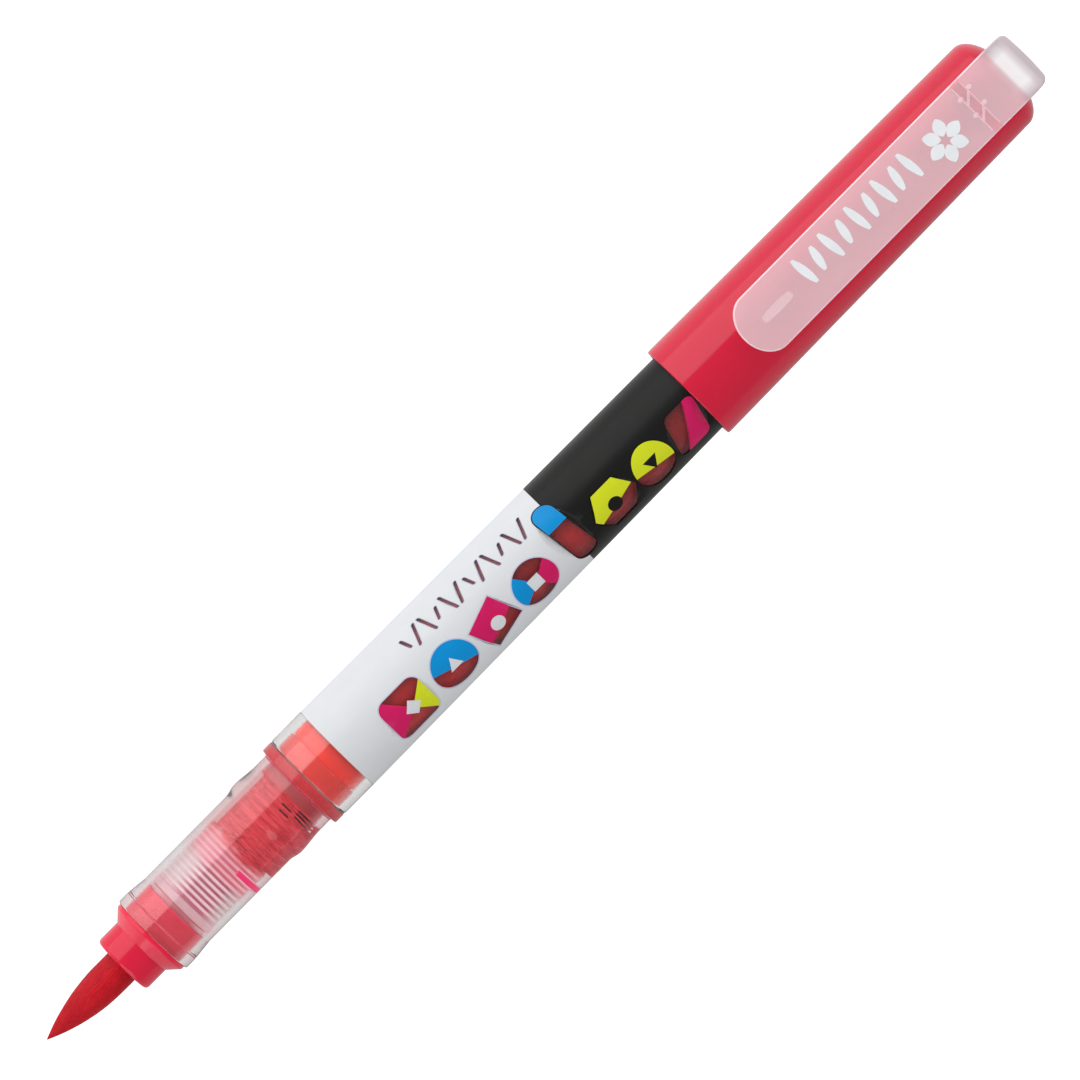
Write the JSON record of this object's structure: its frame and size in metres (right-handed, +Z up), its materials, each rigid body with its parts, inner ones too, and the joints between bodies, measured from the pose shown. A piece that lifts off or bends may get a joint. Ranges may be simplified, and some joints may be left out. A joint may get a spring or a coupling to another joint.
{
  "type": "brush pen",
  "caption": "Free-ink brush pen with a flexible brush, clear finned grip section, printed barrel and a cap with a frosted clip posted on its tail.",
  "frame": {"origin": "on the pen's axis, midway along the barrel's clear collar, where a round holder grips the pen", "axes": "+X along the pen from the brush to the cap's closed end, +Z up through the middle of the clip, +Y across the pen"},
  "size_m": [0.1608, 0.0132, 0.0154],
  "materials": {
    "brush_fibre": "ink-wet fibre bundle",
    "natural_plastic": "natural polypropylene",
    "red_plastic": "polished translucent red",
    "wick_fibre": "bonded fibre",
    "stained_plastic": "ink-stained moulding",
    "clear_plastic": "polished clear styrene",
    "red_ink": "liquid",
    "black_plastic": "moulded",
    "printed_film": "satin printed film, white in front and black behind",
    "frosted_plastic": "frosted translucent"
  },
  "bodies": {
    "pen": {"brush_root": "brush_fibre", "brush_ferrule": "natural_plastic", "nib_holder": "red_plastic", "ink_wick": "wick_fibre", "collector": "stained_plastic", "grip_section": "clear_plastic", "barrel": "clear_plastic", "ink_charge": "red_ink", "tail_plug": "black_plastic", "label_film": "printed_film"},
    "brush": {"brush_tip": "brush_fibre"},
    "liner": {"inner_cap": "natural_plastic"},
    "cap": {"outer_cap": "red_plastic", "clip_head": "frosted_plastic"},
    "clip": {"clip_arm": "frosted_plastic"}
  },
  "joints": [
    {"name": "brush_bend", "type": "hinge", "parent": "pen", "child": "brush", "pos_m": [-0.03305, 0, 0], "axis": [0, 1, 0], "range_deg": [-25, 25], "stiffness_Nm_per_rad": 0.002},
    {"name": "cap_pull", "type": "slide", "parent": "pen", "child": "liner", "axis": [1, 0, 0], "range_m": [0, 0.05]},
    {"name": "cap_turn", "type": "hinge", "parent": "liner", "child": "cap", "pos_m": [0.08, 0, 0], "axis": [1, 0, 0], "continuous": true},
    {"name": "clip_flex", "type": "hinge", "parent": "cap", "child": "clip", "pos_m": [0.10545, 0, 0.00812], "axis": [0, 1, 0], "range_deg": [0, 5], "stiffness_Nm_per_rad": 1.5}
  ]
}
